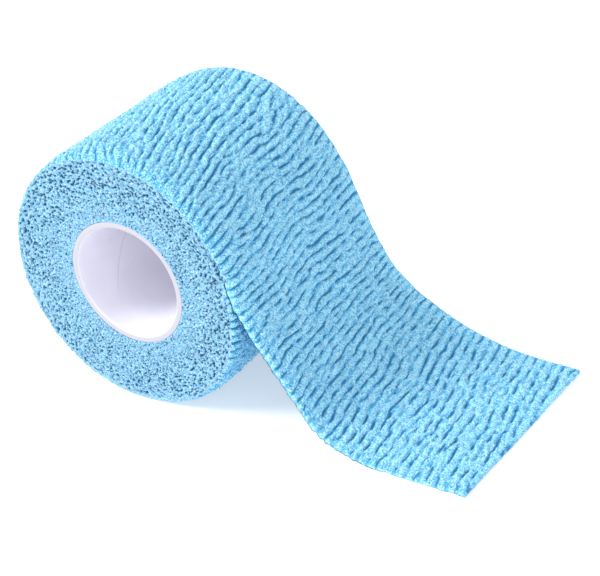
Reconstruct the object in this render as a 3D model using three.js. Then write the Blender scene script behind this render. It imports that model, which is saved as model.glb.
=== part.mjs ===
// A roll of crinkled elastic bandage on a card tube, with its loose end run off the top and laid out flat.
// Millimetres. The roll's axis lies along Y, the loose end runs to +X, +Z is up, and the floor is at zero.
import * as THREE from 'three';

// Driving dimensions
const bandWidth = 50; // width of the bandage, and so of the roll and its tube
const coreRadius = 15.25; // outside of the tube
const coreWall = 1.5;
const coreBevel = 0.3; // broken edge at the tube's rims
const fitGap = 0.3; // clearance between neighbouring pieces
const clothThickness = 1.3; // one turn of the bandage, at the mean of its ridges
const farDrop = 0.8; // the turns' far edges draw in this far where they meet the back end face
const rimWidth = 5; // over this much of the width
const flatSpotDepth = 0.25; // how far the roll's weight flattens its underside
const spreadAtCut = 0.4; // the slack loose end is this much wider at each side of its cut
const droopRun = 32; // its edges keep the roll's drawn-in form over this run from the step
const droopKept = 0.15; // and this share of it to the cut

// The crinkle: ridges across the bandage, drawn together by its elastic threads
const ridgePitch = 2.4;
const ridgeHeight = 0.6;
const undersideShare = 0.4; // the loose end's underside shows this much of the relief
const ridgeFadeRun = 8; // the ridges die out over this run beside the step under the loose end
const flatFadeHeight = 0.8; // and below this height over the flat spot
const edgeScallop = 0.2; // a ridge's end stands this far past a valley's at the bandage's edges

// How the ridges stray from straight lines across the bandage, and come and go along their length:
// size in millimetres, turns over half the width, and turns for each millimetre along the bandage
const ridgeBend = { size: 0.32, across: 1.3, along: 0.059 };
const ridgeLean = { size: 0.14, across: 0.21, along: -0.018 };
const ridgeSlant = 0.12; // their far ends lag by this much for each millimetre across
const nearLean = { size: 1.2, width: 8 }; // and over this width at the near edge they lead by this much more
const ridgeStrength = { mean: 0.75, size: 0.25, across: 1.13, along: 0.132 };

// The wound surface, as it lies: radius by angle, and how far the near edge is drawn in there. It goes
// from the step where the loose end leaves, over the top and underneath to the turn below that step
const windingRows = [
  { angle: 14, radius: 31.3, nearDrop: 1.8 },
  { angle: 32, radius: 30.6, nearDrop: 1.8 },
  { angle: 52, radius: 30.9, nearDrop: 1.8 },
  { angle: 72, radius: 31.5, nearDrop: 1.8 },
  { angle: 98, radius: 31.8, nearDrop: 1.7 },
  { angle: 125, radius: 31.7, nearDrop: 1.3 },
  { angle: 160, radius: 31.6, nearDrop: 0.9 },
  { angle: 190, radius: 31.9, nearDrop: 0.7 },
  { angle: 218, radius: 32.2, nearDrop: 0.7 },
  { angle: 245, radius: 32.1, nearDrop: 0.7 },
  { angle: 270, radius: 31.8, nearDrop: 0.8 },
  { angle: 300, radius: 31.5, nearDrop: 0.9 },
  { angle: 330, radius: 30.9, nearDrop: 1.2 },
  { angle: 352, radius: 30.2, nearDrop: 1.6 },
  { angle: 373.5, radius: 29.7, nearDrop: 1.8 },
];
const undersideAngle = 270;

// The loose end's middle layer, from the step to the cut: its near and far edges at each section
const drapeRows = [
  { nearX: 29.88, nearHeight: 38.3, farX: 29.88, farHeight: 38.3 },
  { nearX: 31.4, nearHeight: 33.0, farX: 32.1, farHeight: 32.9 },
  { nearX: 34.4, nearHeight: 27.0, farX: 34.3, farHeight: 27.0 },
  { nearX: 39.6, nearHeight: 17.6, farX: 39.0, farHeight: 17.8 },
  { nearX: 43.7, nearHeight: 10.4, farX: 44.6, farHeight: 12.1 },
  { nearX: 48.4, nearHeight: 5.0, farX: 50.6, farHeight: 8.3 },
  { nearX: 54.2, nearHeight: 2.4, farX: 57.0, farHeight: 5.6 },
  { nearX: 60.2, nearHeight: 1.2, farX: 63.4, farHeight: 3.6 },
  { nearX: 67.0, nearHeight: 0.65, farX: 70.0, farHeight: 2.2 },
  { nearX: 75.0, nearHeight: 0.65, farX: 78.2, farHeight: 1.2 },
  { nearX: 83.5, nearHeight: 0.65, farX: 86.4, farHeight: 0.65 },
];

const rimSteps = 4; // points round each drawn-in edge
const bodyStations = 4; // points across the bandage between them
const coreSegments = 60;

const halfWidth = bandWidth / 2;
const halfCloth = clothThickness / 2;
const windingBore = coreRadius + fitGap;
const axisHeight = windingRadius(undersideAngle) - flatSpotDepth;

// Value of a table's column between its rows, on a smooth curve
function smoothColumn(rows, key, column, at) {
  let i = 0;
  while (i < rows.length - 2 && at > rows[i + 1][key]) i += 1;
  const slope = (k) => {
    const before = rows[Math.max(k - 1, 0)];
    const after = rows[Math.min(k + 1, rows.length - 1)];
    return (after[column] - before[column]) / (after[key] - before[key]);
  };
  const span = rows[i + 1][key] - rows[i][key];
  const t = (at - rows[i][key]) / span;
  const rise = t * t * (3 - 2 * t);
  const leave = t * (1 - t) * (1 - t) * span * slope(i);
  const arrive = t * t * (t - 1) * span * slope(i + 1);
  return rows[i][column] * (1 - rise) + rows[i + 1][column] * rise + leave + arrive;
}

function windingRadius(angle) {
  return smoothColumn(windingRows, 'angle', 'radius', angle);
}

// How far the wound surface is drawn in at a station across it
function edgeDrop(station, angle) {
  const full = station.y < 0 ? smoothColumn(windingRows, 'angle', 'nearDrop', angle) : farDrop;
  return full * station.drawnIn;
}

function fade(value, start, end) {
  return THREE.MathUtils.smoothstep(value, start, end);
}

// A wave over the bandage: run is the distance along it, and across goes from -1 to 1 over its width
function wave(form, run, across) {
  return form.size * Math.sin(2 * Math.PI * (form.across * across + form.along * run));
}

// How far a ridge has strayed along the bandage
function stray(run, across) {
  const inEdge = Math.max(1 - (halfWidth * (1 + across)) / nearLean.width, 0);
  const lean = nearLean.size * inEdge * inEdge - ridgeSlant * halfWidth * across;
  return wave(ridgeBend, run, across) + wave(ridgeLean, run, across) + lean;
}

// Height of the relief: a ridge and a valley are one step apart
function relief(step, run, across) {
  const side = step % 2 === 0 ? -0.5 : 0.5;
  return side * ridgeHeight * (ridgeStrength.mean + wave(ridgeStrength, run, across));
}

// Closed mesh from loops of points: each loop is joined to the next, and the ends are joined or capped
function sweep(loops, closed) {
  const size = loops[0].length;
  const positions = loops.flat().flatMap((point) => [point.x, point.y, point.z]);
  const index = [];
  const count = closed ? loops.length : loops.length - 1;
  for (let i = 0; i < count; i += 1) {
    const here = i * size;
    const next = ((i + 1) % loops.length) * size;
    for (let j = 0; j < size; j += 1) {
      const k = (j + 1) % size;
      index.push(here + j, next + j, next + k);
      index.push(here + j, next + k, here + k);
    }
  }
  if (!closed) {
    const last = (loops.length - 1) * size;
    // each cap is a strip between the upper and the lower side, whose points face each other
    for (let j = 0; j < size / 2 - 1; j += 1) {
      const k = size - 1 - j;
      index.push(j, j + 1, k - 1, j, k - 1, k);
      index.push(last + j, last + k - 1, last + j + 1, last + j, last + k, last + k - 1);
    }
  }
  const geometry = new THREE.BufferGeometry();
  geometry.setAttribute('position', new THREE.Float32BufferAttribute(positions, 3));
  geometry.setIndex(index);
  geometry.computeVertexNormals();
  return geometry;
}

// Places across the bandage, from the front edge to the back one, with its share of being drawn in
function acrossStations() {
  const stations = [];
  for (let i = 0; i < rimSteps; i += 1) {
    const turn = (i / (rimSteps - 1)) * (Math.PI / 2);
    stations.push({ y: -halfWidth + rimWidth * (1 - Math.cos(turn)), drawnIn: 1 - Math.sin(turn) });
  }
  const bodyHalf = halfWidth - rimWidth;
  for (let i = 1; i <= bodyStations; i += 1) {
    stations.push({ y: -bodyHalf + (2 * bodyHalf * i) / (bodyStations + 1), drawnIn: 0 });
  }
  const mirrored = stations.slice(0, rimSteps).reverse();
  return [...stations, ...mirrored.map(({ y, drawnIn }) => ({ y: -y, drawnIn }))];
}

function bandageRoll() {
  const stations = acrossStations();
  const firstAngle = windingRows[0].angle;
  const lastAngle = windingRows[windingRows.length - 1].angle;
  const arc = THREE.MathUtils.degToRad(lastAngle - firstAngle) * windingRadius(undersideAngle);
  const steps = 2 * Math.round(arc / ridgePitch);
  const loops = [];
  for (let i = 0; i <= steps; i += 1) {
    const run = (arc * i) / steps;
    const besideStep = fade(run, 0, ridgeFadeRun) * fade(arc - run, 0, ridgeFadeRun);
    const loop = [];
    const inner = THREE.MathUtils.degToRad(firstAngle + ((lastAngle - firstAngle) * run) / arc);
    for (const y of [halfWidth, -halfWidth]) {
      const boreHeight = axisHeight + windingBore * Math.sin(inner);
      loop.push(new THREE.Vector3(windingBore * Math.cos(inner), y, boreHeight));
    }
    for (const station of stations) {
      const across = station.y / halfWidth;
      const strayed = run - besideStep * stray(-run, across); // this run is counted away from the loose end
      const degrees = firstAngle + ((lastAngle - firstAngle) * strayed) / arc;
      const angle = THREE.MathUtils.degToRad(degrees);
      const plain = windingRadius(degrees);
      const overFloor = axisHeight + plain * Math.sin(angle);
      const shown = besideStep * fade(overFloor, 0, flatFadeHeight);
      const radius = plain - edgeDrop(station, degrees) + shown * relief(i, run, across);
      const height = Math.max(axisHeight + radius * Math.sin(angle), 0);
      loop.push(new THREE.Vector3(radius * Math.cos(angle), station.y, height));
    }
    loops.push(loop.reverse());
  }
  return sweep(loops, true);
}

// Edge of the loose end's middle layer, as a curve from the step to the cut
function drapeEdge(xColumn, heightColumn, ySign) {
  const points = drapeRows.map((row, i) => {
    const y = ySign * (halfWidth + (spreadAtCut * i) / (drapeRows.length - 1));
    return new THREE.Vector3(row[xColumn], y, row[heightColumn]);
  });
  return new THREE.CatmullRomCurve3(points, false, 'centripetal');
}

function looseEnd() {
  const near = drapeEdge('nearX', 'nearHeight', -1);
  const far = drapeEdge('farX', 'farHeight', 1);
  const length = (near.getLength() + far.getLength()) / 2;
  const stations = acrossStations();
  const steps = 2 * Math.round(length / ridgePitch);
  const loops = [];
  for (let i = 0; i <= steps; i += 1) {
    const run = (length * i) / steps;
    const scallop = i % 2 === 0 ? -edgeScallop / 2 : edgeScallop / 2;
    const inCloth = fade(run, 0, ridgeFadeRun) * fade(length - run, 0, ridgeFadeRun);
    const droop = droopKept + (1 - droopKept) * (1 - fade(run, 0, droopRun));
    const upper = [];
    const lower = [];
    for (const station of stations) {
      const across = station.y / halfWidth;
      const share = (across + 1) / 2;
      const along = (run + inCloth * stray(run, across)) / length;
      const middle = near.getPointAt(along).lerp(far.getPointAt(along), share);
      const heading = near.getTangentAt(along).lerp(far.getTangentAt(along), share);
      const outward = new THREE.Vector3(-heading.z, 0, heading.x).normalize();
      if (Math.abs(across) === 1) middle.y += across * scallop * inCloth;
      middle.addScaledVector(outward, -droop * edgeDrop(station, windingRows[0].angle));
      const raised = inCloth * relief(i, run, across);
      upper.push(middle.clone().addScaledVector(outward, halfCloth + raised));
      lower.push(middle.clone().addScaledVector(outward, -halfCloth - undersideShare * raised));
    }
    const loop = [...upper, ...lower.reverse()];
    for (const point of loop) point.z = Math.max(point.z, 0);
    loops.push(loop);
  }
  return sweep(loops, false);
}

function coreTube() {
  const outer = coreRadius;
  const inner = coreRadius - coreWall;
  const end = halfWidth;
  const profile = [
    [outer, -end + coreBevel],
    [outer, end - coreBevel],
    [outer - coreBevel, end],
    [inner + coreBevel, end],
    [inner, end - coreBevel],
    [inner, -end + coreBevel],
    [inner + coreBevel, -end],
    [outer - coreBevel, -end],
    [outer, -end + coreBevel],
  ].map(([radius, y]) => new THREE.Vector2(radius, y));
  return new THREE.LatheGeometry(profile, coreSegments).translate(0, 0, axisHeight);
}

const cloth = { color: 0x7fc0e4, roughness: 0.95, metalness: 0 };
const pieces = [
  { name: 'core_tube', geometry: coreTube(), finish: { color: 0xe6e3ea, roughness: 0.5, metalness: 0 } },
  { name: 'bandage_roll', geometry: bandageRoll(), finish: cloth },
  { name: 'loose_end', geometry: looseEnd(), finish: cloth },
];

const bandage = new THREE.Group();
for (const { name, geometry, finish } of pieces) {
  const mesh = new THREE.Mesh(geometry, new THREE.MeshStandardMaterial(finish));
  mesh.name = name;
  bandage.add(mesh);
}

export default bandage;
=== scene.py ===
import math

import bpy
import numpy as np
from mathutils import Matrix, Vector


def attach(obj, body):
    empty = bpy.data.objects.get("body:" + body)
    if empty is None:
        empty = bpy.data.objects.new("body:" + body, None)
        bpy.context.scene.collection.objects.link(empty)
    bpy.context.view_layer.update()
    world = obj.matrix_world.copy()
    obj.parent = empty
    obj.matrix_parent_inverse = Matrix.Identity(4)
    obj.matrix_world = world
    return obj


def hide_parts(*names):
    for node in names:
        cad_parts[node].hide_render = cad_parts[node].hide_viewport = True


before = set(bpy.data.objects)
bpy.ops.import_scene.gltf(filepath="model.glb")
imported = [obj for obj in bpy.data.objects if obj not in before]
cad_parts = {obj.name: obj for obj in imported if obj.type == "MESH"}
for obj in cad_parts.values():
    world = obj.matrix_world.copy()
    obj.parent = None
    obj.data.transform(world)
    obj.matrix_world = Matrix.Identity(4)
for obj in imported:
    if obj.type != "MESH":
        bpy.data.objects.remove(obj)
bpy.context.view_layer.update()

# Lengths are in millimetres up to where a mesh or a shader is made.
# The roll's axis lies along Y, the loose end runs to +X, and run is the distance along the bandage:
# 0 at the step where the loose end leaves, negative over the roll, positive to the cut.


# numbers and noise

def fade(value, start, end):
    t = np.clip((value - start) / (end - start), 0, 1)
    return t * t * (3 - 2 * t)


def unit(vectors):
    return vectors / np.maximum(np.linalg.norm(vectors, axis=-1, keepdims=True), 1e-9)


def smoothColumn(keys, values, at):
    # the CAD's curve through a table's column
    keys, values, at = np.asarray(keys, float), np.asarray(values, float), np.asarray(at, float)
    before = np.r_[0, np.arange(len(keys) - 1)]
    after = np.r_[np.arange(1, len(keys)), len(keys) - 1]
    slopes = (values[after] - values[before]) / (keys[after] - keys[before])
    i = np.clip(np.searchsorted(keys, at, side="right") - 1, 0, len(keys) - 2)
    span = keys[i + 1] - keys[i]
    t = (at - keys[i]) / span
    rise = t * t * (3 - 2 * t)
    leave = t * (1 - t) ** 2 * span * slopes[i]
    arrive = t * t * (t - 1) * span * slopes[i + 1]
    return values[i] * (1 - rise) + values[i + 1] * rise + leave + arrive


def blurShare(shape, blur):
    # how much of each wave on a wrapping grid is left by a blur over this many cells
    rows = np.fft.fftfreq(shape[0])[:, None]
    columns = np.fft.rfftfreq(shape[1])[None, :]
    return np.exp(-2 * math.pi ** 2 * ((rows * blur[0]) ** 2 + (columns * blur[1]) ** 2))


def blurredNoise(seed, shape, blur, wide=None):
    # seeded noise on a wrapping grid, blurred over this many cells; with wide, slower changes are left out
    kept = blurShare(shape, blur)
    if wide:
        kept = kept - blurShare(shape, wide)
    noise = np.random.default_rng(seed).standard_normal(shape)
    field = np.fft.irfft2(np.fft.rfft2(noise) * kept, shape)
    return (field - field.mean()) / field.std()


def speckles(seed, shape, blur, gap, sizes):
    # seeded soft dots on a wrapping grid, one in each square of gap cells, blurred over this many cells
    chance = np.random.default_rng(seed)
    rows, columns = np.meshgrid(np.arange(0, shape[0], gap), np.arange(0, shape[1], gap), indexing="ij")
    rows = (rows + chance.integers(0, gap, rows.shape)) % shape[0]
    columns = (columns + chance.integers(0, gap, columns.shape)) % shape[1]
    dots = np.zeros(shape)
    dots[rows, columns] = chance.uniform(*sizes, rows.shape)
    soft = np.fft.irfft2(np.fft.rfft2(dots) * blurShare(shape, blur), shape)
    return soft * 2 * math.pi * blur[0] * blur[1]  # a lone dot's peak is as high as its size


def sampled(field, row, column):
    # value of a wrapping grid between its cells
    top, left = np.floor(row).astype(int), np.floor(column).astype(int)
    down, right = row - top, column - left
    rows, columns = field.shape
    top, left = top % rows, left % columns
    under, beside = (top + 1) % rows, (left + 1) % columns
    upper = field[top, left] * (1 - right) + field[top, beside] * right
    lower = field[under, left] * (1 - right) + field[under, beside] * right
    return upper * (1 - down) + lower * down


# meshes

def gridFaces(rows, columns, closedRows=False):
    # quads of a grid whose rows are closed rings; with closedRows its last row joins the first
    i = np.arange(rows if closedRows else rows - 1)[:, None]
    j = np.arange(columns)[None, :]
    nextRow, nextColumn = (i + 1) % rows, (j + 1) % columns
    start, nextStart = i * columns, nextRow * columns
    corners = [start + j, start + nextColumn, nextStart + nextColumn, nextStart + j]
    return np.stack(np.broadcast_arrays(*corners), -1).reshape(-1, 4)


def fanQuads(ring, flipped):
    # quads that fill an even row of corners, folded in half
    left, right = ring[: len(ring) // 2], ring[::-1][: len(ring) // 2]
    quads = np.stack([left[:-1], left[1:], right[1:], right[:-1]], -1)
    return quads[:, ::-1] if flipped else quads


def gridNormals(points, outward):
    # normals of a grid, all turned round if they point against outward on the whole
    normals = unit(np.cross(np.gradient(points, axis=1), np.gradient(points, axis=0)))
    return normals if np.sum(normals * outward) > 0 else -normals


def turnedOut(points, faces):
    # the quads of a closed mesh, wound so that they face out
    corners = points.reshape(-1, 3)[faces]
    middle = corners.mean(axis=1)
    area = np.cross(corners[:, 2] - corners[:, 0], corners[:, 3] - corners[:, 1])
    return faces if np.sum(middle * area) > 0 else faces[:, ::-1]


def makePiece(name, finish, points, faces, normals=None, values=None):
    mesh = bpy.data.meshes.new(name)
    mesh.from_pydata((points.reshape(-1, 3) * 0.001).tolist(), [], turnedOut(points, faces).tolist())
    for key, field in (values or {}).items():
        layer = mesh.attributes.new(key, "FLOAT", "POINT")
        layer.data.foreach_set("value", field.astype(np.float32).ravel())
    mesh.shade_smooth()
    if normals is not None:
        mesh.normals_split_custom_set_from_vertices(normals.reshape(-1, 3).tolist())
    mesh.materials.append(finish)
    piece = bpy.data.objects.new(name, mesh)
    bpy.context.collection.objects.link(piece)
    return piece


# the bandage's form: the CAD's, with its edges less drawn in on the far side

band = {
    "halfWidth": 25, "thickness": 1.3, "stations": 98,  # places across the bandage
    "farDrop": 0.5, "rimWidth": 5, "rimStations": 16,  # the drawn-in edges
    "farRim": (4.5, 0.5), "nearRim": (5, 0),  # from the first to the second distance in, relief weakens
    "farCalm": 0.82, "nearCalm": 0.6,  # by this share
    "flatSpotDepth": 0.25,
}

windingRows = [
    {"angle": 14, "radius": 31.3, "nearDrop": 1.8},
    {"angle": 32, "radius": 30.6, "nearDrop": 1.8},
    {"angle": 52, "radius": 30.9, "nearDrop": 1.8},
    {"angle": 72, "radius": 31.5, "nearDrop": 1.8},
    {"angle": 98, "radius": 31.8, "nearDrop": 1.5},
    {"angle": 125, "radius": 31.7, "nearDrop": 0.55},
    {"angle": 160, "radius": 31.6, "nearDrop": 0.25},
    {"angle": 190, "radius": 31.9, "nearDrop": 0.4},
    {"angle": 218, "radius": 32.2, "nearDrop": 0.4},
    {"angle": 245, "radius": 32.1, "nearDrop": 0.4},
    {"angle": 270, "radius": 31.8, "nearDrop": 0.8},
    {"angle": 300, "radius": 31.5, "nearDrop": 0.9},
    {"angle": 330, "radius": 30.9, "nearDrop": 1.2},
    {"angle": 352, "radius": 30.2, "nearDrop": 1.6},
    {"angle": 373.5, "radius": 29.7, "nearDrop": 1.8},
]

firstAngle, lastAngle = windingRows[0]["angle"], windingRows[-1]["angle"]


def windingColumn(key, angle):
    return smoothColumn([row["angle"] for row in windingRows], [row[key] for row in windingRows], angle)


axisHeight = float(windingColumn("radius", 270)) - band["flatSpotDepth"]
windingArc = math.radians(lastAngle - firstAngle) * float(windingColumn("radius", 270))


def acrossPlaces():
    # places across the bandage, closer together over the drawn-in edges, with their share of being drawn in
    half, rim, rimCount = band["halfWidth"], band["rimWidth"], band["rimStations"]
    turn = np.linspace(0, math.pi / 2, rimCount)
    rimY, drawnIn = rim * (1 - np.cos(turn)), 1 - np.sin(turn)
    middle = np.linspace(-half + rim, half - rim, band["stations"] - 2 * rimCount + 2)[1:-1]
    y = np.r_[rimY - half, middle, half - rimY[::-1]]
    return y, np.r_[drawnIn, np.zeros(len(middle)), drawnIn[::-1]]


placesY, placesDrawnIn = acrossPlaces()


def rimShare(y, distances):
    start, end = distances
    return fade(y, band["halfWidth"] - start, band["halfWidth"] - end)


farRim, nearRim = rimShare(placesY, band["farRim"]), rimShare(-placesY, band["nearRim"])
calmEdges = 1 - band["farCalm"] * farRim - band["nearCalm"] * nearRim  # how much of the relief is left


def edgeDrop(angle):
    # how far the wound surface is drawn in at every place across it
    return placesDrawnIn * np.where(placesY < 0, windingColumn("nearDrop", angle), band["farDrop"])


# the crinkle: ridges across the bandage, with short cracks between them

crinkle = {
    "start": -206, "end": 88, "halfSpan": 27, "cellRun": 0.1, "cellAcross": 0.2,  # the field's grid
    "ridge": 0.37, "crack": 0.2, "lumps": 0.145, "nubs": 0.1, "swell": 0.03,  # heights
    "nearWidth": 8,  # strip at the near edge where the ridges lead
    "drift": 0.5, "fineDrift": 0.07,  # how far they stray along the bandage
    "forks": 0.62, "slowForks": 0.25, "slowTurns": 0.35,  # how much their strength and phase wander
    "weakest": 0.02, "strongest": 1.8,
    "threads": 4.3, "threadStray": 0.8, "pinch": 0.7,  # threads along the bandage that pinch the ridges
    "crackShare": 1.25, "crackSharpness": 12, "crackLeft": 0.1,
    # how much painted highlight the lumps get
    "lumpHighlight": 0.24,
}

# along the bandage: distance from ridge to ridge, how far the ridges' far ends lead for each millimetre
# across, how much they bow, and how far they lead at the near edge
ridgeRows = [
    {"run": -206, "pitch": 2.3, "slant": -0.12, "bow": 0.002, "nearLead": 1.0},
    {"run": -62, "pitch": 2.3, "slant": -0.32, "bow": 0.002, "nearLead": 1.0},
    {"run": -40, "pitch": 2.3, "slant": -0.3, "bow": 0.002, "nearLead": 1.0},
    {"run": -22, "pitch": 2.25, "slant": -0.175, "bow": 0.003, "nearLead": 1.0},
    {"run": -6, "pitch": 2.15, "slant": -0.12, "bow": 0.003, "nearLead": 1.0},
    {"run": 8, "pitch": 2.05, "slant": -0.06, "bow": 0.003, "nearLead": 0.8},
    {"run": 24, "pitch": 2.1, "slant": -0.1, "bow": 0.002, "nearLead": 0.6},
    {"run": 38, "pitch": 2.25, "slant": -0.14, "bow": -0.001, "nearLead": 0.0},
    {"run": 88, "pitch": 2.2, "slant": -0.165, "bow": 0.0, "nearLead": 0.0},
]


def crinkleFields():
    c = crinkle
    run = np.arange(c["start"], c["end"], c["cellRun"])[:, None]
    y = np.arange(-c["halfSpan"], c["halfSpan"], c["cellAcross"])[None, :]
    shape = (run.shape[0], y.shape[1])

    def noise(seed, alongRun, across, wide=None):
        size = (alongRun / c["cellRun"], across / c["cellAcross"])
        return blurredNoise(seed, shape, size, wide and (wide * size[0], wide * size[1]))

    def column(key):
        return np.interp(run, [row["run"] for row in ridgeRows], [row[key] for row in ridgeRows])

    phase = np.cumsum(2 * math.pi * c["cellRun"] / column("pitch")[:, 0])
    atNear = np.clip(1 - (band["halfWidth"] + y) / c["nearWidth"], 0, 1.2)
    lean = column("slant") * y + column("bow") * y ** 2 + column("nearLead") * atNear ** 2
    drift = c["fineDrift"] * noise(11, 1.0, 0.6) + c["drift"] * noise(12, 8, 5)
    # ridges that fork and break: a wave whose strength and phase wander over short distances
    real = 1 + c["forks"] * noise(13, 0.7, 1.3) + c["slowForks"] * noise(14, 2.5, 3)
    imaginary = c["forks"] * noise(15, 0.7, 1.3) + c["slowTurns"] * noise(16, 2.5, 3)
    strength = np.clip(np.hypot(real, imaginary), c["weakest"], c["strongest"]) ** 0.5
    theta = np.interp(run - lean - drift, run[:, 0], phase) + np.arctan2(imaginary, real)
    valley = 0.5 + 0.5 * np.cos(theta)
    crest = 1 - valley
    threads = 0.5 + 0.5 * np.cos(2 * math.pi * (y + c["threadStray"] * noise(17, 14, 2.5)) / c["threads"])
    pinched = 1.15 - c["pinch"] * threads ** 2
    broken = c["crackLeft"] + (1 - c["crackLeft"]) * fade(noise(18, 0.6, 0.6) - 1.3 * threads, -1.9, 0.9)
    # the cracks are cut into the height, and their share also paints shade into the colour
    crack = np.clip(c["crackShare"] * valley ** c["crackSharpness"] * strength * broken, 0, 1)
    lumps = noise(19, 0.2, 0.28, wide=2.6)
    height = c["ridge"] * strength * (crest ** 0.75 - 0.6) * pinched - c["crack"] * crack
    height += c["lumps"] * lumps * (0.6 + 0.6 * crest)
    height += c["nubs"] * noise(21, 0.15, 0.26) + c["swell"] * noise(20, 2.2, 2.6)
    # painted light: highlight on the ridges' crests and lumps, shade in the hollows, kept as the crest
    # attribute
    crestsAndPaintedLight = 0.5 + strength * pinched * (crest - 0.5) + c["lumpHighlight"] * lumps
    return {"height": height, "crack": crack, "crest": crestsAndPaintedLight}


crinkles = crinkleFields()
print("crinkle field", crinkles["height"].shape)


def crinkleAt(key, run, y):
    row = (run - crinkle["start"]) / crinkle["cellRun"]
    column = (y + crinkle["halfSpan"]) / crinkle["cellAcross"]
    return sampled(crinkles[key], row, column)


# the cut edges stray a little and stand out with each ridge

cutLine = {
    "width": 1.2, "ridges": 0.07, "ridgesFrom": 0.3, "stray": 0.08,
    "cells": 2400, "cellRun": 0.1225, "blur": 6,
    "farAhead": 80,  # so that the two edges don't stray alike
}
strays = blurredNoise(31, (cutLine["cells"], 2), (cutLine["blur"], 0.1))[:, 0]


def edgePush(run, y):
    # how far the cloth stands out past its edge, for places near it
    side, half = np.sign(y), band["halfWidth"]
    nearEdge = fade(np.abs(y), half - cutLine["width"], half)
    onRidge = cutLine["ridges"] * (crinkleAt("crest", run, side * (half - cutLine["ridgesFrom"])) - 0.5)
    at = (run + cutLine["farAhead"] / 2 * side - crinkle["start"]) / cutLine["cellRun"]
    return side * nearEdge * (onRidge + cutLine["stray"] * np.interp(at, np.arange(len(strays)), strays))


# materials

def linear(red, green, blue):
    # sRGB levels up to 255 as a linear colour
    return (*[((level / 255 + 0.055) / 1.055) ** 2.4 for level in (red, green, blue)], 1)


def addNode(tree, kind, inputs=None, **settings):
    node = tree.nodes.new(kind)
    for key, value in settings.items():
        setattr(node, key, value)
    for key, value in (inputs or {}).items():
        if isinstance(value, bpy.types.NodeSocket):
            tree.links.new(value, node.inputs[key])
        else:
            node.inputs[key].default_value = value
    return node


def mathNode(tree, operation, *values):
    return addNode(tree, "ShaderNodeMath", dict(enumerate(values)), operation=operation).outputs[0]


def mixColour(tree, share, first, second):
    return addNode(tree, "ShaderNodeMix", {0: share, 6: first, 7: second}, data_type="RGBA").outputs[2]


def ramp(tree, value, start, end):
    inputs = {"Value": value, "From Min": start, "From Max": end}
    return addNode(tree, "ShaderNodeMapRange", inputs, interpolation_type="SMOOTHSTEP").outputs[0]


def noiseTexture(tree, position, scale, detail, **inputs):
    inputs.update({"Vector": position, "Scale": scale, "Detail": detail})
    return addNode(tree, "ShaderNodeTexNoise", inputs).outputs["Fac"]


def attribute(tree, name):
    return addNode(tree, "ShaderNodeAttribute", attribute_name=name).outputs["Fac"]


def objectPosition(tree):
    return addNode(tree, "ShaderNodeTexCoord").outputs["Object"]


def newGroup(name, inputs, outputs):
    tree = bpy.data.node_groups.new(name, "ShaderNodeTree")
    for kind, sockets in (("INPUT", inputs), ("OUTPUT", outputs)):
        for socketName, socketType in sockets.items():
            tree.interface.new_socket(socketName, in_out=kind, socket_type="NodeSocket" + socketType)
    return tree, tree.nodes.new("NodeGroupInput"), tree.nodes.new("NodeGroupOutput")


fibres = {
    # each noise: times the scale, detail, distortion
    "matted": (1.1, 1.5, 0.6), "fine": (2.2, 1, 0.0), "pale": (1.7, 0.5, 0.3), "dark": (1.4, 0.5, 0.2),
    "fineShare": 0.6, "fleckStart": 0.5, "fleckFull": 0.6,
}


def fibreGrain():
    # matted fibres: a fine uneven height, with pale and dark flecks
    tree, given, result = newGroup(
        "fibreGrain",
        {"Vector": "Vector", "Scale": "Float"},
        {"Height": "Float", "Pale": "Float", "Dark": "Float"},
    )

    def noise(kind):
        times, detail, distortion = fibres[kind]
        vector = given.outputs["Vector"]
        scale = mathNode(tree, "MULTIPLY", given.outputs["Scale"], times)
        return noiseTexture(tree, vector, scale, detail, Roughness=0.65, Distortion=distortion)

    fine = mathNode(tree, "MULTIPLY", noise("fine"), fibres["fineShare"])
    height = mathNode(tree, "ADD", noise("matted"), fine)
    tree.links.new(height, result.inputs["Height"])
    for socketName, kind in (("Pale", "pale"), ("Dark", "dark")):
        flecks = ramp(tree, noise(kind), fibres["fleckStart"], fibres["fleckFull"])
        tree.links.new(flecks, result.inputs[socketName])
    return tree


grainGroup = fibreGrain()


def grained(tree, scale):
    inputs = {"Vector": objectPosition(tree), "Scale": scale}
    return addNode(tree, "ShaderNodeGroup", inputs, node_tree=grainGroup).outputs


def newMaterial(name, roughness, sheen=0.0):
    material = bpy.data.materials.new(name)
    material.use_nodes = True
    tree = material.node_tree
    shader = tree.nodes["Principled BSDF"]
    shader.inputs["Roughness"].default_value = roughness
    shader.inputs["Sheen Weight"].default_value = sheen
    shader.inputs["Specular IOR Level"].default_value = 0.2
    return material, tree, shader


def connect(tree, shader, colour, height, bump):
    bumped = addNode(tree, "ShaderNodeBump", {"Height": height, "Distance": bump})
    tree.links.new(colour, shader.inputs["Base Color"])
    tree.links.new(bumped.outputs[0], shader.inputs["Normal"])


clothLook = {
    # crest and hollow: painted highlight on the ridges and painted shade between them; crack: painted shade
    "crest": linear(150, 227, 255), "hollow": linear(88, 183, 233), "crack": linear(52, 134, 184),
    "pale": linear(196, 236, 254), "dark": linear(78, 167, 220), "paleShare": 0.75, "darkShare": 0.75,
    "grain": 1700, "bump": 0.00045, "ragged": 1.1, "raggedFrom": -0.88,  # how the grain frays the cracks
    "roughness": 0.93, "sheen": 0.1,
}


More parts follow.
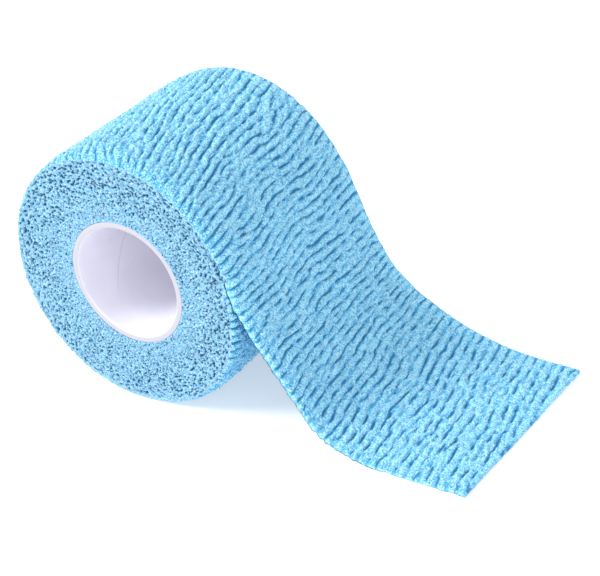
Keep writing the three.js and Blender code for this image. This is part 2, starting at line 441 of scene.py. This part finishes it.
def clothMaterial():
    look = clothLook
    material, tree, shader = newMaterial("crinkledCloth", look["roughness"], look["sheen"])
    grain = grained(tree, look["grain"])
    crest = attribute(tree, "crest")
    # painted highlight and shade: lighter on the ridges' crests, darker in the hollows
    colour = mixColour(tree, ramp(tree, crest, 0.05, 0.85), look["hollow"], look["crest"])
    darkened = mathNode(tree, "MULTIPLY", grain["Dark"], look["darkShare"])
    colour = mixColour(tree, darkened, colour, look["dark"])
    # the fibres' own pale flecks, kept mostly to the ridges with the painted highlight
    onRidges = mathNode(tree, "MULTIPLY", grain["Pale"], ramp(tree, crest, -0.7, 0.5))
    paled = mathNode(tree, "MULTIPLY", onRidges, look["paleShare"])
    colour = mixColour(tree, paled, colour, look["pale"])
    frayed = mathNode(tree, "MULTIPLY_ADD", grain["Height"], look["ragged"], look["raggedFrom"])
    cracked = mathNode(tree, "ADD", frayed, attribute(tree, "crack"))
    # painted shade in the cracks, its edges frayed by the grain
    colour = mixColour(tree, ramp(tree, cracked, 0.2, 0.5), colour, look["crack"])
    connect(tree, shader, colour, grain["Height"], look["bump"])
    return material


edgeLook = {
    # pore: painted shade in the pores and the groove between turns; the rest is the cut edges' own colour
    "body": linear(129, 188, 222), "pore": linear(38, 106, 146), "pale": linear(192, 224, 243),
    "dark": linear(80, 150, 192), "paleShare": 0.6, "darkShare": 0.55,
    "grain": 1800, "bump": 0.0004, "roughness": 0.95, "sheen": 0.1,
}


def edgeMaterial():
    look = edgeLook
    material, tree, shader = newMaterial("cutEdges", look["roughness"], look["sheen"])
    grain = grained(tree, look["grain"])
    darkened = mathNode(tree, "MULTIPLY", grain["Dark"], look["darkShare"])
    colour = mixColour(tree, darkened, look["body"], look["dark"])
    paled = mathNode(tree, "MULTIPLY", grain["Pale"], look["paleShare"])
    colour = mixColour(tree, paled, colour, look["pale"])
    # painted shade in the pores and the groove
    colour = mixColour(tree, ramp(tree, attribute(tree, "pore"), 0.15, 0.85), colour, look["pore"])
    connect(tree, shader, colour, grain["Height"], look["bump"])
    return material


tube = {"radius": 15.25, "wall": 1.5, "lip": 0.45, "outerLip": 0.12, "segments": 192, "stations": 60}
tubeLook = {
    # the lip is a darker copy of the wall's colour: painted shade to hold back the light on its flat ends
    "lip": linear(181, 181, 190), "wall": linear(229, 228, 239), "mottle": linear(224, 223, 235),
    "seam": linear(196, 196, 208), "seamShare": 0.8, "roughness": 0.5,
    "seamY": -8.5, "seamAngle": -178.7, "seamTurn": -4.7, "seamWidth": 0.22,  # its line: mm and degrees
    "seamMiddle": -11, "seamFull": 3, "seamEnd": 8,  # the part of it that shows
    "mottleScale": 160.0, "fineScale": 3000.0, "bump": 0.00002,
}


def tubeSeam(tree, position):
    # share of a faint slanted seam that runs along part of the bore
    look = tubeLook
    place = addNode(tree, "ShaderNodeSeparateXYZ", {"Vector": position}).outputs
    height = mathNode(tree, "SUBTRACT", place["Z"], axisHeight / 1000)
    angle = mathNode(tree, "ARCTAN2", height, place["X"])
    along = mathNode(tree, "SUBTRACT", place["Y"], look["seamY"] / 1000)
    turned = mathNode(tree, "MULTIPLY", along, math.radians(look["seamTurn"]) * 1000)
    unturned = mathNode(tree, "SUBTRACT", angle, math.radians(look["seamAngle"]))
    off = mathNode(tree, "SUBTRACT", unturned, turned)
    width = math.cos(look["seamWidth"] / (tube["radius"] - tube["wall"]))
    line = ramp(tree, mathNode(tree, "COSINE", off), width, 1.0)
    fromMiddle = mathNode(tree, "ADD", along, (look["seamY"] - look["seamMiddle"]) / 1000)
    ends = mathNode(tree, "ABSOLUTE", fromMiddle)
    shown = ramp(tree, ends, look["seamEnd"] / 1000, look["seamFull"] / 1000)
    return mathNode(tree, "MULTIPLY", mathNode(tree, "MULTIPLY", line, shown), look["seamShare"])


def tubeMaterial():
    look = tubeLook
    material, tree, shader = newMaterial("tubeWall", look["roughness"])
    position = objectPosition(tree)
    soft = noiseTexture(tree, position, look["mottleScale"], 3.0)
    colour = mixColour(tree, ramp(tree, soft, 0.35, 0.7), look["wall"], look["mottle"])
    colour = mixColour(tree, tubeSeam(tree, position), colour, look["seam"])
    # painted shade: the lips take the darker lip colour, the inside wall its own
    colour = mixColour(tree, attribute(tree, "inside"), look["lip"], colour)
    connect(tree, shader, colour, noiseTexture(tree, position, look["fineScale"], 2.0), look["bump"])
    return material


clothFinish, edgeFinish, tubeFinish = clothMaterial(), edgeMaterial(), tubeMaterial()


# the wound bandage: its outer turn

wrap = {
    "loops": 980, "hiddenDepth": 3, "hiddenIn": 0.05,
    "tuckRun": 3,  # smooth where the loose end lies on it
    "flatFade": 0.8,  # height over the floor up to which its weight presses it smooth
    "fullEdgeRun": (55, 20), "fullEdge": 0.85,  # ridges reach the edges under the loose end
    # and painted shade on the cloth there, under the loose end
    "shadeRun": (50, 15), "shadeCrest": 0.4, "shadeCrack": 0.2,  # and at the near rim, facing the key light
}


def rollSurface(run):
    # outer surface of the wound turns at these runs, every station across: points and crinkle values
    run = np.asarray(run, float)[:, None]
    y = placesY[None, :]
    degrees = firstAngle - (lastAngle - firstAngle) * run / windingArc
    angle = np.radians(degrees)
    plain = windingColumn("radius", degrees)
    slope = windingColumn("radius", degrees + 0.5) - windingColumn("radius", degrees - 0.5)
    tilt = angle - np.arctan2(slope / math.radians(1), plain)  # direction square to the surface
    fromStart = windingArc + run
    calm = 1 - (1 - calmEdges) * (1 - wrap["fullEdge"] * fade(fromStart, *wrap["fullEdgeRun"]))
    overFloor = axisHeight + plain * np.sin(angle)
    shown = fade(fromStart, 0, wrap["tuckRun"]) * fade(overFloor, 0, wrap["flatFade"])
    raised = shown * calm * crinkleAt("height", run, y)
    radius = plain - edgeDrop(degrees)
    x = radius * np.cos(angle) + raised * np.cos(tilt)
    z = np.maximum(axisHeight + radius * np.sin(angle) + raised * np.sin(tilt), 0.03)
    points = np.stack(np.broadcast_arrays(x, y + shown * edgePush(run, y), z), -1)
    # painted shade: duller crests and some crack colour under the loose end and along the near rim
    paintedShade = np.maximum(nearRim, fade(fromStart, *wrap["shadeRun"]))
    crest = crinkleAt("crest", run, y) * (1 - wrap["shadeCrest"] * paintedShade)
    crack = np.maximum(shown * crinkleAt("crack", run, y), wrap["shadeCrack"] * paintedShade)
    return points, {"crest": crest, "crack": crack}


def buildWrap():
    step = windingArc / (wrap["loops"] - 1)
    run = -np.arange(-1, wrap["loops"] + 1) * step  # one loop more at each end, for the normals
    points, values = rollSurface(run)
    normals = gridNormals(points, (points - [0, 0, axisHeight]) * [1, 0, 1])
    points, normals = points[1:-1], normals[1:-1]
    # the hidden side, under the drawn-in edges
    hidden = points[:, [-1, 0]].copy()
    hidden[..., 1] = np.array([1, -1]) * (band["halfWidth"] - wrap["hiddenDepth"])
    inward = unit((np.array([0, 0, axisHeight]) - hidden) * [1, 0, 1])
    hidden += wrap["hiddenIn"] * inward
    allPoints = np.concatenate([points, hidden], 1)
    allNormals = np.concatenate([normals, inward], 1)
    unseen = np.zeros((len(points), 2))
    allValues = {key: np.concatenate([field[1:-1], unseen], 1) for key, field in values.items()}
    faces = gridFaces(*allPoints.shape[:2], closedRows=True)
    return makePiece("outerTurn", clothFinish, allPoints, faces, allNormals, allValues), points


wrapPiece, wrapPoints = buildWrap()
print("outer turn", len(wrapPiece.data.polygons))


# the wound bandage: the ends of its turns

facing = {
    "rings": 88, "slab": 3, "bore": 15.28, "rimRound": 0.9, "coreRound": 0.8,
    "shape": (1440, 200), "inmost": 14, "cell": 0.1,  # the noise's grid: cells round and outwards
    "coarse": (1.8, 1.5), "coarseGap": 8, "coarseSizes": (0.4, 2.0), "coarseDepth": 0.45,
    "fine": (1.1, 1.0), "fineGap": 5, "fineSizes": (0.3, 1.4), "fineDepth": 0.22, "fineShare": 0.8,
    "patches": 0.08, "fuzz": 0.09, "swell": 0.13,
    "grooveAt": 1.25, "grooveStray": 0.16, "grooveWidth": 0.22, "grooveDepth": 0.75, "grooveDegrees": 22,
}


def buildEnd(name, side, seed):
    f = facing
    border = wrapPoints[:, 0 if side < 0 else -1]
    angle = np.arctan2(border[:, 2] - axisHeight, border[:, 0])[:, None]
    borderRadius = np.hypot(border[:, 2] - axisHeight, border[:, 0])[:, None]
    share = np.linspace(0, 1, f["rings"])[None, :]
    radius = borderRadius * (1 - share) + f["bore"] * share
    fromBorder = borderRadius - radius
    row = (np.degrees(angle) % 360) * f["shape"][0] / 360
    column = (radius - f["inmost"]) / f["cell"]

    def noise(offset, around, outwards):
        field = blurredNoise(seed + offset, f["shape"], (around / f["cell"], outwards / f["cell"]))
        return sampled(field, row, column)

    def dots(offset, kind):
        field = speckles(seed + offset, f["shape"], f[kind], f[kind + "Gap"], f[kind + "Sizes"])
        return sampled(field, row, column)

    # pores, larger towards the rim and on the upper half
    outer = fade(radius, 17, 25)
    upper = 0.5 + 0.5 * np.sin(angle + 0.3)
    amount = (0.3 + 0.7 * outer) * (0.75 + 0.25 * upper) + f["patches"] * noise(3, 2.4, 1.6)
    coarsePores = fade(dots(1, "coarse") * (0.35 + 0.75 * amount), 0.4, 0.75)
    finePores = f["fineShare"] * fade(dots(2, "fine"), 0.35, 0.8)

    # the outermost turn parts from the next one beside the step, where the loose end pulls at it
    fromStep = (np.degrees(angle) - firstAngle) % 360
    parted = np.exp(-fromStep / f["grooveDegrees"]) * fade(fromBorder, 0.4, 1.0)
    centre = f["grooveAt"] + f["grooveStray"] * noise(4, 1.2, 3)
    groove = parted * np.exp(-((fromBorder - centre) / f["grooveWidth"]) ** 2)
    # pores and groove are cut in, and as the pore attribute they also carry painted shade
    pores = np.maximum(np.maximum(coarsePores, finePores), groove)

    depth = f["coarseDepth"] * coarsePores + f["fineDepth"] * finePores + f["grooveDepth"] * groove
    depth += f["fuzz"] * noise(5, 0.16, 0.16) + f["swell"] * noise(6, 2.2, 1.2)
    depth *= fade(radius, f["bore"], f["bore"] + f["coreRound"])
    inside = fade(fromBorder, 0, f["rimRound"])
    y = border[:, 1][:, None] * (1 - inside) + side * (band["halfWidth"] - depth) * inside
    points = np.stack([radius * np.cos(angle), y, axisHeight + radius * np.sin(angle)], -1)
    points[:, 0] = border
    normals = gridNormals(points, [0, side, 0])
    # the hidden back of the slab
    back = points[:, [-1, 0]].copy()
    back[..., 1] = side * (band["halfWidth"] - f["slab"])
    backNormals = np.zeros_like(back) - [0, side, 0]
    allPoints = np.concatenate([points, back], 1)
    allNormals = np.concatenate([normals, backNormals], 1)
    values = {"pore": np.concatenate([pores * inside, np.zeros((len(points), 2))], 1)}
    faces = gridFaces(*allPoints.shape[:2], closedRows=True)
    return makePiece(name, edgeFinish, allPoints, faces, allNormals, values)


frontEnd = buildEnd("frontTurnEnds", -1, 100)
backEnd = buildEnd("backTurnEnds", 1, 200)
print("turn ends", len(frontEnd.data.polygons) + len(backEnd.data.polygons))


# the loose end

loose = {
    "loops": 350, "spreadAtCut": 0.4, "slopeRun": 0.4,
    "droopRun": 32, "droopKept": 0.15,  # how long its edges stay drawn in, and how much at the cut
    "sag": 0.22, "sagRun": (3, 16), "sagCells": (420, 110), "sagCell": (0.25, 0.5), "sagBlur": (34, 16),
    "underside": 0.45, "fadeRun": 8,  # the crinkle underneath, and where it starts
    "cutRelief": 0.35, "cutReliefRun": (-0.2, 1.2),
    "edgePoints": 4, "bulge": 0.16, "bulgeRun": 3,  # the rounded sides
    "rimCrest": 0.35, "rimCrack": 0.16, "sideCrack": 0.2,  # painted shade at the near rim, less on the sides
    "cutRings": ((0.14, 0.9), (0.24, 0.68), (0.28, 0.4)),  # the rounded cut: how far out, how much is left
    "cutFuzz": 0.12, "cutTurn": 1.6,
}

# its middle layer from the step to the cut: the near and far edges at each section
drapeRows = [
    {"nearX": 31.4, "nearZ": 33.0, "farX": 32.1, "farZ": 32.9},
    {"nearX": 34.4, "nearZ": 27.0, "farX": 34.3, "farZ": 27.0},
    {"nearX": 39.6, "nearZ": 17.6, "farX": 39.0, "farZ": 17.8},
    {"nearX": 43.7, "nearZ": 10.4, "farX": 44.6, "farZ": 12.1},
    {"nearX": 48.4, "nearZ": 5.0, "farX": 50.6, "farZ": 8.3},
    {"nearX": 54.2, "nearZ": 2.4, "farX": 57.0, "farZ": 5.6},
    {"nearX": 60.2, "nearZ": 1.2, "farX": 63.4, "farZ": 3.6},
    {"nearX": 67.0, "nearZ": 0.65, "farX": 70.0, "farZ": 2.2},
    {"nearX": 75.0, "nearZ": 0.65, "farX": 78.2, "farZ": 1.2},
    {"nearX": 83.5, "nearZ": 0.65, "farX": 86.4, "farZ": 0.65},
]
ledInAngles = (26, 14)  # places on the turn before it that lead it in


def drapeEdge(xKey, zKey):
    # the edge from the step to the cut: distance from the step, x and z
    led = []
    for degrees in ledInAngles:
        radius = float(windingColumn("radius", degrees)) - band["thickness"] / 2
        angle = math.radians(degrees)
        led.append((radius * math.cos(angle), axisHeight + radius * math.sin(angle)))
    x = np.array([p[0] for p in led] + [row[xKey] for row in drapeRows])
    z = np.array([p[1] for p in led] + [row[zKey] for row in drapeRows])
    chord = np.r_[0, np.cumsum(np.hypot(np.diff(x), np.diff(z)))]
    fine = np.linspace(0, chord[-1], 4000)
    x, z = smoothColumn(chord, x, fine), smoothColumn(chord, z, fine)
    length = np.r_[0, np.cumsum(np.hypot(np.diff(x), np.diff(z)))]
    return length - np.interp(chord[1], fine, length), x, z


def middleLayer(run, near, far, length):
    # x and z of the middle layer at these runs, every station across, and the direction square to it
    share = (placesY[None, :] / band["halfWidth"] + 1) / 2

    def between(column, at):
        ends = [np.interp(at * edge[0][-1] / length, edge[0], edge[column]) for edge in (near, far)]
        return ends[0] * (1 - share) + ends[1] * share

    after, before = run + loose["slopeRun"], run - loose["slopeRun"]
    ahead = np.stack([between(column, after) - between(column, before) for column in (1, 2)], -1)
    ahead[-4:] = ahead[-5]  # nothing lies ahead of the cut
    ahead = unit(ahead)
    return between(1, run), between(2, run), -ahead[..., 1], ahead[..., 0]


def looseSides(run, near, far, length):
    # the upper and the lower side of the cloth
    x, z, outX, outZ = middleLayer(run, near, far, length)
    across = placesY[None, :]
    spread = 1 + loose["spreadAtCut"] / band["halfWidth"] * run / length
    y = across * spread + edgePush(run, across)
    droop = loose["droopKept"] + (1 - loose["droopKept"]) * (1 - fade(run, 0, loose["droopRun"]))
    (cellRun, cellAcross), cells = loose["sagCell"], loose["sagCells"]
    sag = blurredNoise(41, cells, loose["sagBlur"])
    sag = sampled(sag, run / cellRun, across / cellAcross + cells[1] / 2)
    lowered = -droop * edgeDrop(firstAngle) + loose["sag"] * fade(run, *loose["sagRun"]) * sag
    relief = loose["cutRelief"] + (1 - loose["cutRelief"]) * fade(length - run, *loose["cutReliefRun"])
    over = band["thickness"] / 2 + lowered + calmEdges * crinkleAt("height", run, across) * relief
    underRelief = loose["underside"] * fade(run, 0, loose["fadeRun"]) * crinkleAt("height", run, -across)
    under = -band["thickness"] / 2 + lowered - underRelief
    top = np.stack([x + outX * over, y, z + outZ * over], -1)
    bottom = np.stack([x + outX * under, y, z + outZ * under], -1)
    top[..., 2] = np.maximum(top[..., 2], 0.05)  # never in the floor
    bottom[..., 2] = np.maximum(bottom[..., 2], 0.03)
    return top, bottom


def roundedSide(run, top, bottom, topNormals, column, side):
    # rounded side of the cloth, from its upper to its lower side: points and normals
    turn = np.linspace(0, 1, loose["edgePoints"] + 2)[1:-1][None, :, None]
    points = top[:, [column]] * (1 - turn) + bottom[:, [column]] * turn
    bulge = loose["bulge"] * fade(run, 0, loose["bulgeRun"])
    points[..., 1] += side * bulge * np.sin(math.pi * turn[..., 0])
    normals = np.cos(math.pi * turn) * topNormals[:, [column]]
    normals[..., 1] += side * np.sin(math.pi * turn[..., 0])
    return points, unit(normals)


def roundedCut(ring, ringNormals, middle):
    # smaller and smaller rings past the cut, round the middle of the cloth there
    sides = [np.repeat(middle[[place]], loose["edgePoints"], 0) for place in (-1, 0)]
    middle = np.concatenate([middle, sides[0], middle[::-1], sides[1]])
    fuzzy = loose["cutFuzz"] * blurredNoise(42, (len(ring), 2), (1.2, 0.1))[:, :1]
    rings, normals = [], []
    for outBy, kept in loose["cutRings"]:
        smaller = middle + kept * (ring - middle)
        smaller[:, :1] += outBy + fuzzy * outBy
        rings.append(smaller)
        normals.append(unit(kept * ringNormals + (1 - kept) * np.array([loose["cutTurn"], 0, 0])))
    return np.array(rings), np.array(normals)


def looseFaces(rings, ringSize):
    # the rings' quads, and caps at both cut ends: a strip between the two sides and a fan at each edge
    places, edgePoints = len(placesY), loose["edgePoints"]
    last = (rings - 1) * ringSize
    upper = np.arange(places - 1)
    lower = 2 * places + edgePoints - 1 - upper
    startCap = np.stack([upper, lower, lower - 1, upper + 1], -1)
    endCap = np.stack([upper, upper + 1, lower - 1, lower], -1) + last
    farSide = np.arange(places - 1, places + edgePoints + 1)
    nearSide = np.r_[0, np.arange(ringSize - 1, ringSize - edgePoints - 2, -1)]
    fans = []
    for base in (0, last):
        for side in (farSide, nearSide):
            fans.append(fanQuads(side + base, (base == 0) == (side is farSide)))
    return np.concatenate([gridFaces(rings, ringSize), startCap, endCap, *fans])


def buildLooseEnd():
    near, far = drapeEdge("nearX", "nearZ"), drapeEdge("farX", "farZ")
    length = (near[0][-1] + far[0][-1]) / 2
    step = length / (loose["loops"] - 1)
    run = (np.arange(-1, loose["loops"] + 1) * step)[:, None]  # one loop more at each end, for the normals
    top, bottom = looseSides(run, near, far, length)
    topNormals, bottomNormals = gridNormals(top, [0, 0, 1]), gridNormals(bottom, [0, 0, -1])
    farPoints, farNormals = roundedSide(run, top, bottom, topNormals, -1, 1)
    nearPoints, nearNormals = roundedSide(run, top, bottom, topNormals, 0, -1)
    points = np.concatenate([top, farPoints, bottom[:, ::-1], nearPoints[:, ::-1]], 1)[1:-1]
    normals = np.concatenate([topNormals, farNormals, bottomNormals[:, ::-1], nearNormals[:, ::-1]], 1)[1:-1]
    cutPoints, cutNormals = roundedCut(points[-1], normals[-1], (top[-2] + bottom[-2]) / 2)
    points, normals = np.concatenate([points, cutPoints]), np.concatenate([normals, cutNormals])

    places, half = len(placesY), float(band["halfWidth"])
    sideY = np.full(loose["edgePoints"], half)
    columns = np.r_[placesY, sideY, placesY[::-1], -sideY]
    runs = np.concatenate([run[1:-1], np.full((len(cutPoints), 1), length)])
    values = {key: crinkleAt(key, runs, columns[None, :]) for key in ("crest", "crack")}
    crest, crack = values["crest"], values["crack"]
    # painted shade: less crack shade on the rounded sides, and the near rim darker, as it faces the key
    # light
    crack[:, places:] *= loose["sideCrack"]
    crest[:, :places] *= 1 - loose["rimCrest"] * nearRim
    crack[:, :places] = np.maximum(crack[:, :places], loose["rimCrack"] * nearRim)
    faces = looseFaces(*points.shape[:2])
    return makePiece("looseEnd", clothFinish, points, faces, normals, values), length


loosePiece, looseLength = buildLooseEnd()
print("loose end", len(loosePiece.data.polygons), "length", round(looseLength, 2))


# the tube

def tubeProfile():
    # its section, as radius and y, with rounded lips
    outer, inner, half = tube["radius"], tube["radius"] - tube["wall"], band["halfWidth"]
    bend = np.linspace(0, math.pi / 2, 6)
    straight = np.linspace(-half + tube["lip"], half - tube["lip"], tube["stations"])[1:-1]

    def corner(radius, radiusSign, ySign, turn):
        lip = tube["outerLip"] if radiusSign > 0 else tube["lip"]
        points = []
        for t in turn:
            fromWall, fromEnd = lip * (1 - math.sin(t)), lip * (1 - math.cos(t))
            points.append((radius - radiusSign * fromWall, ySign * (half - fromEnd)))
        return points

    profile = corner(outer, 1, -1, bend)
    profile += [(outer, y) for y in straight]
    profile += corner(outer, 1, 1, bend[::-1])
    profile += corner(inner, -1, 1, bend)
    profile += [(inner, y) for y in straight[::-1]]
    profile += corner(inner, -1, -1, bend[::-1])
    return np.array(profile).T


def buildTube():
    radius, y = tubeProfile()
    angle = np.linspace(0, 2 * math.pi, tube["segments"], endpoint=False)[:, None]
    inside = fade(tube["radius"] - tube["wall"] + tube["lip"] - radius, 0.1, tube["lip"])
    inside = np.repeat(inside[None, :], len(angle), 0)
    y = np.repeat(y[None, :], len(angle), 0)
    uneven = 0.03 * np.sin(3 * angle + 0.05 * y) + 0.015 * np.sin(7 * angle - 0.11 * y)  # not quite round
    radius = radius[None, :] + uneven
    points = np.stack([radius * np.cos(angle), y, axisHeight + radius * np.sin(angle)], -1)
    faces = gridFaces(*points.shape[:2], closedRows=True)
    return makePiece("windingTube", tubeFinish, points, faces, None, {"inside": inside})


tubePiece = buildTube()
print("tube", len(tubePiece.data.polygons))

for piece, node, slotName in (
    (wrapPiece, "bandage_roll", "bandage"),
    (frontEnd, "bandage_roll", "bandage"),
    (backEnd, "bandage_roll", "bandage"),
    (loosePiece, "loose_end", "bandage"),
    (tubePiece, "core_tube", "tube"),
):
    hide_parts(node)
    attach(piece, "root")


# floor, light and camera, in metres

studio = {
    "floor": linear(216, 216, 218), "floorHalf": 3.0, "floorRoughness": 0.9,
    "glow": 0.42,  # the floor is a paper lit from below too, as on a photo table
    "world": 0.95, "aim": (0.02, 0, 0.02),
    "key": 16.0, "keyPlace": (-0.75, -0.7, 0.9), "keySize": 0.55,
    "fill": 2.0, "fillPlace": (0.9, -0.6, 0.5), "fillSize": 0.8,
}


def buildFloor():
    half = studio["floorHalf"]
    mesh = bpy.data.meshes.new("floor")
    corners = [(-half, -half, 0), (half, -half, 0), (half, half, 0), (-half, half, 0)]
    mesh.from_pydata(corners, [], [(0, 1, 2, 3)])
    floor = bpy.data.objects.new("floor", mesh)
    bpy.context.collection.objects.link(floor)
    material, tree, shader = newMaterial("floorPaper", studio["floorRoughness"])
    shader.inputs["Base Color"].default_value = studio["floor"]
    shader.inputs["Emission Color"].default_value = (1, 1, 1, 1)
    shader.inputs["Emission Strength"].default_value = studio["glow"]
    mesh.materials.append(material)


def softLight(kind):
    lamp = bpy.data.lights.new(kind + "Light", "AREA")
    lamp.shape, lamp.size, lamp.energy = "DISK", studio[kind + "Size"], studio[kind]
    light = bpy.data.objects.new(kind + "Light", lamp)
    bpy.context.collection.objects.link(light)
    light.location = studio[kind + "Place"]
    aim = Vector(studio["aim"]) - Vector(studio[kind + "Place"])
    light.rotation_euler = aim.to_track_quat("-Z", "Y").to_euler()


def buildWorld():
    world = bpy.data.worlds.new("studio")
    world.use_nodes = True
    background = world.node_tree.nodes["Background"]
    background.inputs["Color"].default_value = (1, 1, 1, 1)
    background.inputs["Strength"].default_value = studio["world"]
    bpy.context.scene.world = world
    bpy.context.scene.view_settings.view_transform = "Standard"


photoView = {
    "place": (0.2113, -0.2526, 0.20855), "azimuth": 35.76, "elevation": 30.73, "roll": -6.32,
    "sensor": 36, "lens": 95.4, "clip": (0.01, 20),
}


def buildCamera():
    camera = bpy.data.cameras.new("photoCamera")
    camera.sensor_fit, camera.sensor_width = "HORIZONTAL", photoView["sensor"]
    camera.lens = photoView["lens"]
    camera.clip_start, camera.clip_end = photoView["clip"]
    view = bpy.data.objects.new("photoCamera", camera)
    bpy.context.collection.objects.link(view)
    turn = Matrix.Rotation(math.radians(photoView["azimuth"]), 4, "Z")
    tip = Matrix.Rotation(math.radians(90 - photoView["elevation"]), 4, "X")
    roll = Matrix.Rotation(math.radians(photoView["roll"]), 4, "Z")
    view.matrix_world = Matrix.Translation(photoView["place"]) @ turn @ tip @ roll
    bpy.context.scene.camera = view


buildFloor()
softLight("key")
softLight("fill")
buildWorld()
buildCamera()
